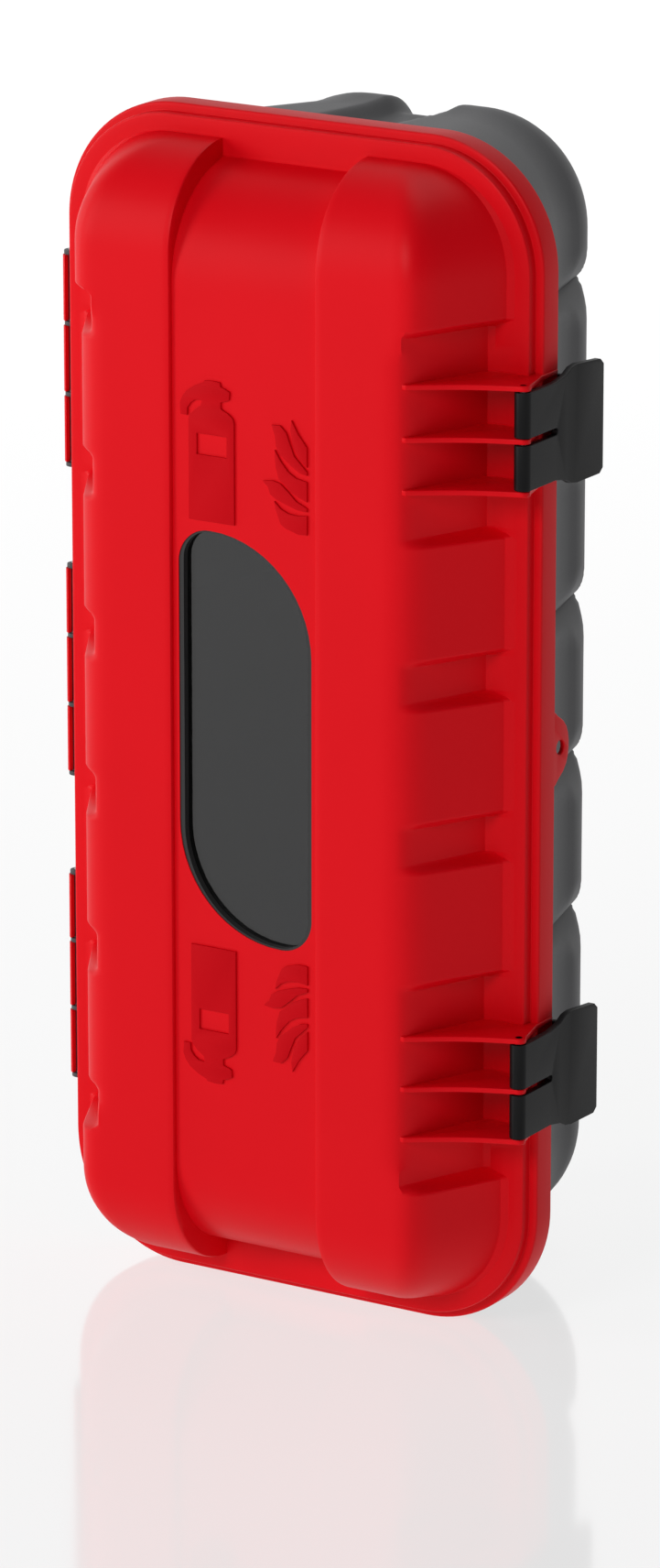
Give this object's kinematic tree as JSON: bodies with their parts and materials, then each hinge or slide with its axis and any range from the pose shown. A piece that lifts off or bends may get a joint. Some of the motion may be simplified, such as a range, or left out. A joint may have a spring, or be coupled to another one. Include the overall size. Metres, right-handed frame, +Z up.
{
  "type": "fire extinguisher cabinet",
  "caption": "Wall cabinet for a fire extinguisher: moulded housing, hinged ribbed lid with a slanted window, lever latches and a seal ear.",
  "frame": {"origin": "centre of the flat back face that lies on the wall", "axes": "+X to the right of the cabinet seen from in front, +Y into the wall, +Z up"},
  "size_m": [0.3349, 0.2289, 0.685],
  "materials": {
    "red_plastic": "satin moulded",
    "grey_plastic": "fine grained",
    "black_plastic": "fine grained",
    "clear_pane": "clear",
    "black_rubber": "matte",
    "pin_steel": "dark zinc"
  },
  "bodies": {
    "housing": {"housing_shell": "grey_plastic", "rim_seal": "black_rubber", "hinge_pin_upper": "pin_steel", "hinge_pin_middle": "pin_steel", "hinge_pin_lower": "pin_steel"},
    "lid": {"lid_shell": "red_plastic", "window_gasket": "black_rubber", "window_pane": "clear_pane", "latch_pin_upper": "pin_steel", "latch_pin_lower": "pin_steel"},
    "latch_upper": {"latch_upper": "black_plastic"},
    "latch_lower": {"latch_lower": "black_plastic"}
  },
  "joints": [
    {"name": "lid_hinge", "type": "hinge", "parent": "housing", "child": "lid", "pos_m": [-0.163, -0.15, 0], "axis": [0, 0, -1], "range_deg": [0, 175]},
    {"name": "latch_upper_pivot", "type": "hinge", "parent": "lid", "child": "latch_upper", "pos_m": [0.1585, -0.193, 0.186], "axis": [0, 0, -1], "range_deg": [0, 110]},
    {"name": "latch_lower_pivot", "type": "hinge", "parent": "lid", "child": "latch_lower", "pos_m": [0.1585, -0.193, -0.186], "axis": [0, 0, -1], "range_deg": [0, 110]}
  ]
}
